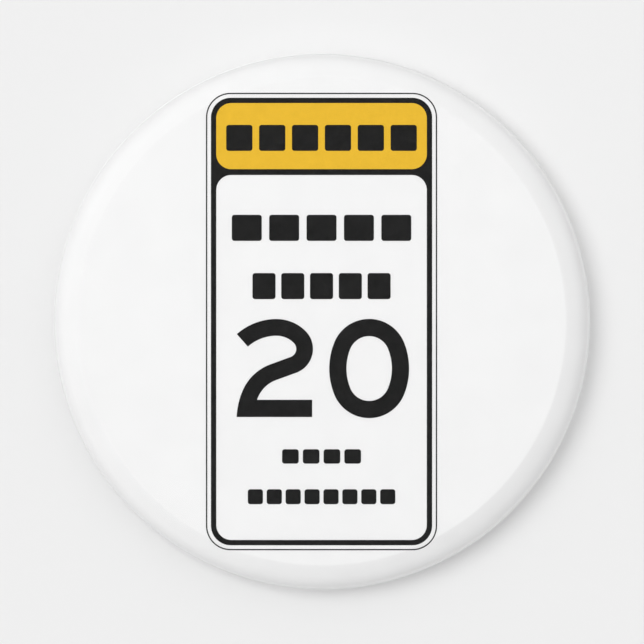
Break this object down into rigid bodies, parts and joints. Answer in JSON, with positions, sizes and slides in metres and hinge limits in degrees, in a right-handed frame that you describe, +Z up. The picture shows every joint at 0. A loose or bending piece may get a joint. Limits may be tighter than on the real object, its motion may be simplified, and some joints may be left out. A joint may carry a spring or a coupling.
{
  "type": "printed button magnet",
  "caption": "round domed tinplate button with a printed school speed sign on its face under clear film, and a ferrite disc magnet glued to its flat metal back",
  "frame": {"origin": "centre of the ferrite magnet's rear face, which touches the steel surface that the button hangs on", "axes": "+X to the right as the print is read, +Y out of the magnet's rear face into the steel surface, +Z up as the print is read; the printed face looks along -Y"},
  "size_m": [0.0572, 0.0063, 0.0572],
  "materials": {
    "clear_film": "gloss",
    "white_paper": "satin",
    "amber_print": "satin",
    "black_print": "satin",
    "tinplate": "satin",
    "glue": "satin",
    "ferrite": "matte"
  },
  "bodies": {
    "root": {"clear_film": "clear_film", "printed_paper": "white_paper", "ink_header_panel": "amber_print", "ink_border": "black_print", "ink_outline": "black_print", "ink_numerals": "black_print", "ink_word_blocks": "black_print", "front_shell": "tinplate", "back_plate": "tinplate", "glue_disc": "glue", "magnet_disc": "ferrite"}
  },
  "joints": []
}
